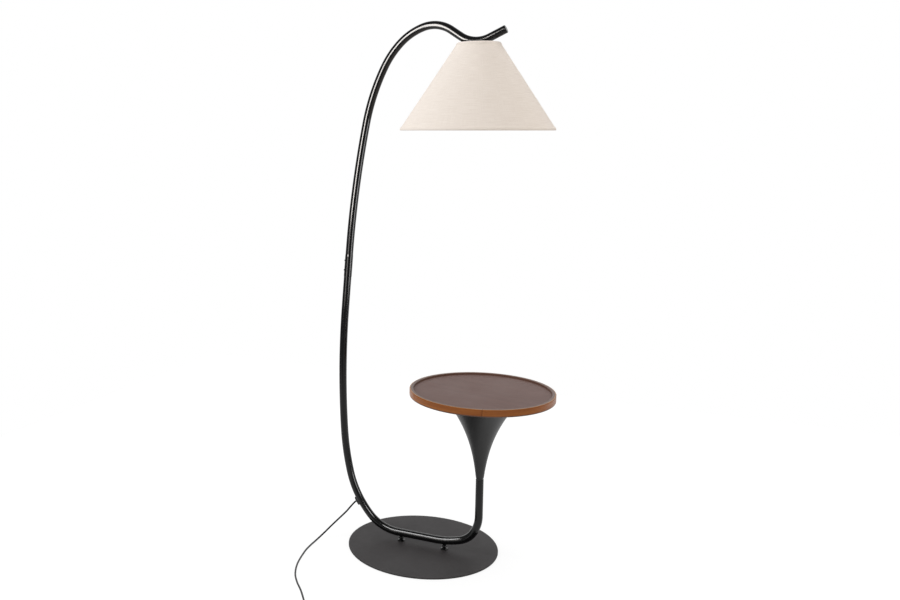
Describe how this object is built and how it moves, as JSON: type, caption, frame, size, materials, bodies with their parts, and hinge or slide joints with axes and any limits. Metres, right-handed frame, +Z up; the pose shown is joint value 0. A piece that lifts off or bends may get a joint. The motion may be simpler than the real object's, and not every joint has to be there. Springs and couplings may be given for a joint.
{
  "type": "arched floor lamp with side table",
  "caption": "Floor lamp whose bent tube rises from a round foot into an arch that holds a conical fabric shade, and whose other end carries a small round table on a trumpet.",
  "frame": {"origin": "centre of the round foot's underside, on the floor", "axes": "+X from the pole towards the table, in the plane of the bent tube; +Y to the back; +Z up"},
  "size_m": [0.6529, 0.8995, 1.4858],
  "materials": {
    "gloss_black": "gloss",
    "plate_grey": "fine matte",
    "satin_black": "satin",
    "foot_pad": "matte",
    "steel": "plain",
    "walnut": "oiled",
    "board": "raw",
    "top_sheet": "matte",
    "brass": "plain",
    "black_plastic": "satin",
    "ceramic": "glazed",
    "cap_metal": "plain",
    "bulb_glass": "frosted",
    "linen": "woven",
    "cord_black": "satin"
  },
  "bodies": {
    "stand": {"floor_pad": "foot_pad", "base_plate": "plate_grey", "post_rear": "gloss_black", "post_front": "gloss_black", "foot_screw_rear": "steel", "foot_screw_front": "steel", "foot_nut_rear": "steel", "foot_nut_front": "steel", "lower_tube": "gloss_black", "upper_tube": "gloss_black", "joint_sleeve": "steel", "joint_screw_low": "satin_black", "joint_screw_high": "satin_black", "tube_end_cap": "gloss_black", "cord_grommet": "black_plastic", "inner_lead": "cord_black", "stem_plug": "satin_black", "trumpet": "satin_black", "trumpet_rod": "steel", "table_mount": "steel", "table_screw_1": "steel", "table_screw_2": "steel", "table_screw_3": "steel", "table_board": "board", "table_sheet": "top_sheet", "table_hoop": "walnut", "holder_boss": "gloss_black", "holder_nipple": "brass", "holder_cap": "black_plastic", "holder_skirt": "black_plastic", "holder_core": "ceramic", "holder_ring": "black_plastic", "cord_lead": "cord_black", "switch_base": "black_plastic", "switch_cover": "black_plastic", "switch_relief_in": "black_plastic", "switch_relief_out": "black_plastic", "cord_tail": "cord_black", "cord_coil": "cord_black", "coil_tie": "black_plastic", "cord_end": "cord_black", "plug_relief": "black_plastic", "plug_body": "black_plastic", "plug_pin_left": "brass", "plug_pin_right": "brass"},
    "shade": {"shade_cone": "linen", "shade_top_hem": "linen", "shade_bottom_hem": "linen", "shade_top_wire": "steel", "shade_spider": "steel", "shade_bottom_wire": "steel"},
    "bulb": {"bulb_cap": "cap_metal", "bulb_contact": "brass", "bulb_globe": "bulb_glass"},
    "button": {"switch_button": "black_plastic"}
  },
  "joints": [
    {"name": "shade_turn", "type": "hinge", "parent": "stand", "child": "shade", "pos_m": [0.13128, 0, 1.37214], "axis": [0, 0, 1], "continuous": true},
    {"name": "bulb_out", "type": "slide", "parent": "stand", "child": "bulb", "axis": [0, 0, -1], "range_m": [0, 0.03]},
    {"name": "switch_press", "type": "slide", "parent": "stand", "child": "button", "axis": [0, 0, -1], "range_m": [0, 0.003], "stiffness_N_per_m": 600, "springref_m": -0.003}
  ]
}
